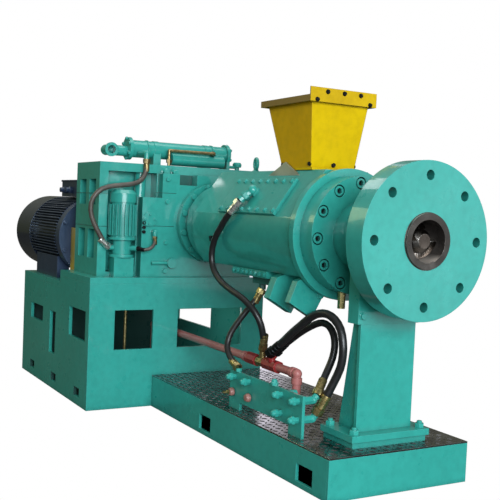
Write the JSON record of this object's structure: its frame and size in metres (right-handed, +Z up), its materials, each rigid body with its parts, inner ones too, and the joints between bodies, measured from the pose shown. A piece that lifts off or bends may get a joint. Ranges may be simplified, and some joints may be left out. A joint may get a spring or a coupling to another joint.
{
  "type": "rubber extruder",
  "caption": "Screw extruder for rubber on a welded base: motor, gearbox, jacketed feed barrel with a hopper, and a flanged head end on a pedestal.",
  "frame": {"origin": "on the floor under the screw's axis, in the plane of the gearbox's front face", "axes": "+X along the screw towards the head flange, +Z up, +Y to the side away from the motor"},
  "size_m": [2.946, 0.96, 1.468],
  "materials": {
    "teal_paint": "gloss",
    "yellow_paint": "satin",
    "guard_paint": "satin",
    "motor_paint": "satin",
    "machined_steel": "machined",
    "tread_steel": "worn",
    "pipe_paint": "satin",
    "valve_paint": "satin",
    "fitting_steel": "plated",
    "bare_sheet": "bare",
    "copper": "bare",
    "hose_rubber": "satin",
    "braided_hose": "satin"
  },
  "bodies": {
    "machine": {"base_front_wall": "teal_paint", "base_left_wall": "teal_paint", "base_right_wall": "teal_paint", "base_rear_wall": "teal_paint", "base_floor": "teal_paint", "gearbox_deck": "teal_paint", "motor_deck": "teal_paint", "deck_riser": "teal_paint", "plinth_left_rail": "teal_paint", "plinth_right_rail": "teal_paint", "plinth_front_rail": "teal_paint", "tread_plate": "tread_steel", "pedestal_pad": "teal_paint", "pedestal_foot": "teal_paint", "pedestal_post": "teal_paint", "pedestal_saddle": "teal_paint", "gearbox_housing": "teal_paint", "bearing_plate": "teal_paint", "barrel_seat": "teal_paint", "feed_barrel": "teal_paint", "upper_jacket_cover": "teal_paint", "lower_jacket_cover": "teal_paint", "drain_block": "teal_paint", "barrel_lugs": "teal_paint", "barrel_flange": "teal_paint", "front_barrel": "teal_paint", "liner_bush": "machined_steel", "hopper_flange": "yellow_paint", "hopper_front_wall": "yellow_paint", "hopper_rear_wall": "yellow_paint", "hopper_left_wall": "yellow_paint", "hopper_right_wall": "yellow_paint", "hopper_rim": "yellow_paint", "throat_shield": "bare_sheet", "main_motor": "motor_paint", "fan_cover": "motor_paint", "terminal_box": "motor_paint", "coupling_guard": "guard_paint", "oil_cooler": "teal_paint", "cooler_saddles": "teal_paint", "cooler_elbow": "teal_paint", "cooler_pipe": "copper", "pump_motor": "teal_paint", "oil_pump": "teal_paint", "manifold_panel": "teal_paint", "manifold_fittings": "teal_paint", "water_pipe": "pipe_paint", "pipe_valves": "valve_paint", "jacket_fittings": "fitting_steel", "upper_jacket_hose": "hose_rubber", "lower_jacket_hose": "hose_rubber", "outer_loop_hose": "hose_rubber", "inner_loop_hose": "hose_rubber", "oil_hose": "braided_hose", "suction_hose": "braided_hose"},
    "screw": {"screw": "machined_steel", "screw_shank": "machined_steel"}
  },
  "joints": [
    {"name": "screw_spin", "type": "hinge", "parent": "machine", "child": "screw", "pos_m": [0, 0, 0.9], "axis": [1, 0, 0], "continuous": true}
  ]
}
